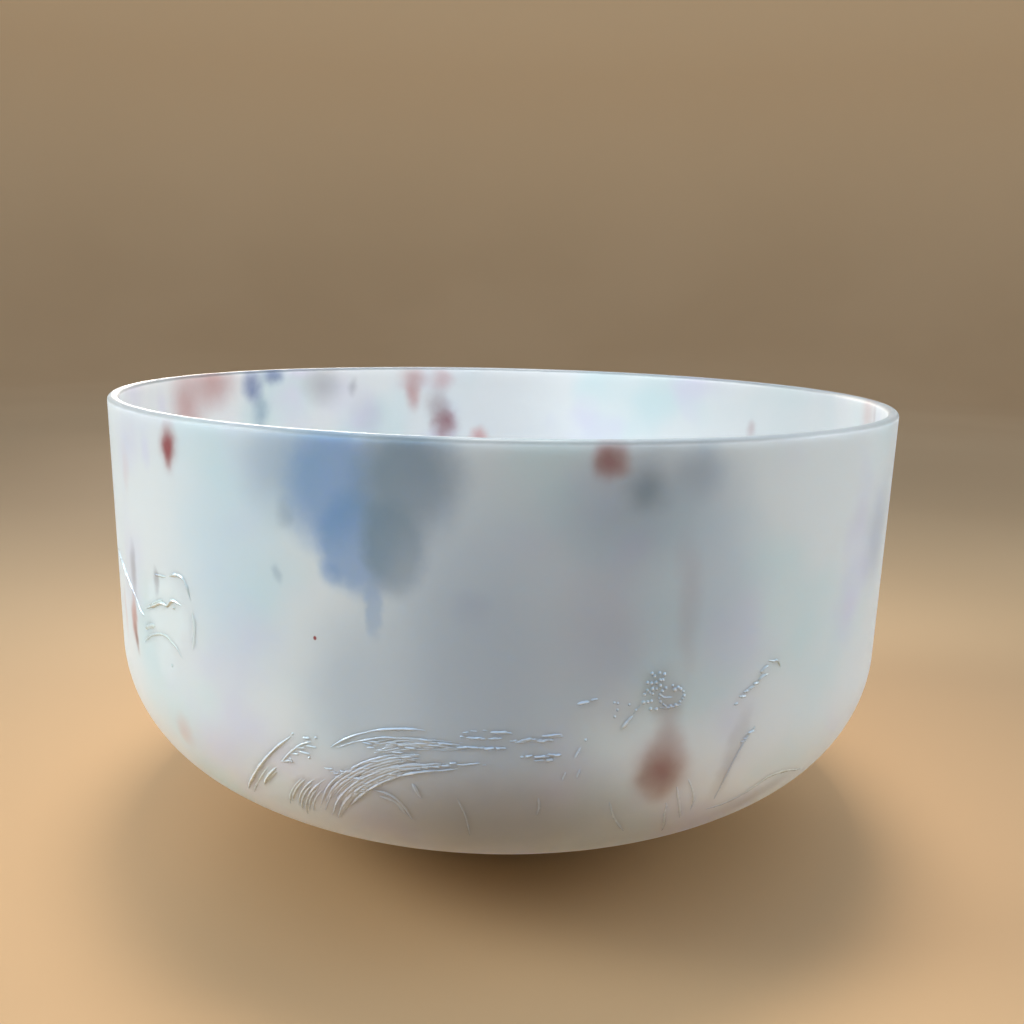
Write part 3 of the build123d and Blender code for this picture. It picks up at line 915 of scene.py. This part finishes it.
def make_right_stroke(material):
    relief = Relief(24.5, 48, 33, 77, seed=7, cell=0.14 * MM)
    stem = ((28.0, 40.2), (28.2, 45.0), (29.0, 50.8), (30.4, 55.8), (32.2, 59.4))
    relief.stroke(stem, 0.26 * MM, 0.22 * MM, 0.30)
    relief.dashes((30.0, 55.4), (31.6, 58.0), 4, 0.26 * MM, 0.40 * MM, 0.2)
    relief.dashes((28.4, 65.2), (31.6, 69.6), 7, 0.28 * MM, 0.30 * MM, 0.3)
    relief.stroke(((31.5, 69.4), (32.2, 70.4), (33.2, 70.6)), 0.28 * MM, 0.30 * MM)
    relief.stroke(((31.8, 71.4), (32.5, 72.4), (33.0, 72.7)), 0.34 * MM, 0.38 * MM)
    hook = ((32.9, 74.0), (33.7, 73.5), (34.5, 73.4), (35.2, 71.6))
    relief.stroke(hook, 0.28 * MM, 0.30 * MM, 0.1)
    for azimuth, height in ((29.9, 67.7), (32.0, 71.6), (34.2, 73.5)):
        relief.dab(azimuth, height, 0.42 * MM, 0.46 * MM)
    edge = (
        (27.6, 37.2), (30.0, 37.3), (32.4, 38.4), (34.8, 40.5),
        (37.0, 42.3), (40.2, 41.7), (45.4, 38.6),
    )
    relief.stroke(edge, 0.44 * MM, 0.09 * MM)
    relief.stroke(edge[4:], 0.30 * MM, 0.18 * MM, 0.2)
    relief.piece("relief_stroke_right", "relief_right_stroke", material)


def make_ring(material):
    """The rubber ring as the CAD has it, with the fine flash line that its mould leaves."""
    low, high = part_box("rubber_ring")
    section_radius, seat_gap = 4.0 * MM, 0.3 * MM
    flash_rise, flash_width = 0.09 * MM, 2.2  # the width in degrees round the ring's section
    centre = Vector((high.x - section_radius, 3.6 * MM))
    dome, dome_radius = outline.bends[-1][:2]
    profile = []
    steps = 144
    for k in range(steps):
        turn = math.tau * k / steps
        from_flash = math.degrees(abs(turn - math.pi))
        reach = section_radius + flash_rise * math.exp(-((from_flash / flash_width) ** 2))
        radius, height = centre.x + reach * math.cos(turn), centre.y + reach * math.sin(turn)
        away = math.hypot(radius, height - dome[1])
        if away < dome_radius + seat_gap:
            share = (dome_radius + seat_gap) / away
            radius, height = radius * share, dome[1] + (height - dome[1]) * share
        profile.append((min(radius, high.x), max(height, low.z)))
    ring = turned("ring_rubber", profile, AROUND_RING, material)
    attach(ring, "ring")
    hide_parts("rubber_ring")


make_bowl()
make_ring(rubber("black_rubber"))
glaze = clear_glaze("clear_relief")
for make_relief in (
    make_left_patch,
    make_left_strokes,
    make_main_sweep,
    make_sweep_tail,
    make_drips,
    make_bead_cluster,
    make_right_stroke,
):
    make_relief(glaze)

# ---- Floor, light and camera --------------------------------------------------------------------


def make_floor():
    """A flat floor that curves up into a low round wall, all in one plain colour."""
    flat_radius, bend_radius, wall_height = 1.6, 0.7, 1.6
    bend_steps, count = 16, 96
    profile = [(flat_radius, 0.0)]
    for k in range(1, bend_steps + 1):
        turn = math.radians(90 * k / bend_steps)
        out, up = bend_radius * math.sin(turn), bend_radius * (1 - math.cos(turn))
        profile.append((flat_radius + out, up))
    profile.append((flat_radius + bend_radius, wall_height))
    vertices, faces = [], []
    for radius, height in profile:
        vertices.extend(around(radius, height, azimuth) for azimuth in full_turn(count))
    vertices.append((0, 0, 0))
    middle = len(vertices) - 1
    for i in range(count):
        j = (i + 1) % count
        faces.append((middle, i, j))
        for ring in range(len(profile) - 1):
            low, high = ring * count, (ring + 1) * count
            faces.append((low + i, high + i, high + j, low + j))
    floor = add_mesh("studio_floor", vertices, faces, plain_floor("floor_plain"))


LIT_MIDDLE = Vector((0, 0, 0.06))  # the lights point at the middle of the bowl


def add_soft_light(name, place, width, height, watts, colour, spread):
    """An area light that points at the bowl."""
    light = bpy.data.lights.new(name, "AREA")
    light.shape = "RECTANGLE"
    light.spread = math.radians(spread)
    light.size, light.size_y = width, height
    light.energy = watts
    light.color = colour
    holder = bpy.data.objects.new(name, light)
    holder.location = place
    holder.rotation_euler = (LIT_MIDDLE - Vector(place)).to_track_quat("-Z", "Y").to_euler()
    bpy.context.scene.collection.objects.link(holder)


# Each light: name, place, width, height, watts, colour and spread in degrees.
LIGHTS = (
    ("key_left", (-1.0, -0.10, 0.60), 0.6, 0.6, 0.86, (0.88, 0.98, 1.0), 34),
    ("right_fill", (1.0, 0.15, 0.45), 0.5, 0.5, 0.50, (0.80, 0.92, 1.0), 50),
    ("back_low", (-0.35, 1.15, 0.42), 0.5, 0.5, 0.52, (1.0, 0.93, 0.84), 40),
    ("top", (0.0, 0.12, 1.1), 0.3, 0.3, 0.34, (1.0, 0.90, 0.80), 30),
)
SKY_COLOUR = (0.56, 0.75, 1.0, 1.0)
SKY_STRENGTH = 1.08


def make_lights():
    """The soft lights, in a faintly blue studio."""
    for light in LIGHTS:
        add_soft_light(*light)
    world = bpy.data.worlds.new("studio")
    world.use_nodes = True
    background = world.node_tree.nodes["Background"]
    background.inputs["Color"].default_value = SKY_COLOUR
    background.inputs["Strength"].default_value = SKY_STRENGTH
    bpy.context.scene.world = world


def make_camera():
    """Stands in front of the bowl, a little above the rim, and looks down into it."""
    distance, above_lowest, aside = 310.4 * MM, 151.3 * MM, 3.06 * MM
    pitch, roll = math.radians(11.68), math.radians(1.356)
    camera = bpy.data.cameras.new("camera")
    camera.sensor_width = 36.0  # in mm, as the focal length is
    camera.lens = 35.16
    camera.clip_start, camera.clip_end = 0.01, 20
    holder = bpy.data.objects.new("camera", camera)
    place = Matrix.Translation((aside, -distance, LOWEST_HEIGHT + above_lowest))
    turn = Matrix.Rotation(math.pi / 2 - pitch, 4, "X") @ Matrix.Rotation(roll, 4, "Z")
    holder.matrix_world = place @ turn
    bpy.context.scene.collection.objects.link(holder)
    bpy.context.scene.camera = holder


make_floor()
make_lights()
make_camera()
bpy.context.scene.view_settings.view_transform = "Standard"
bpy.context.scene.cycles.max_bounces = 5
bpy.context.scene.cycles.diffuse_bounces = 3
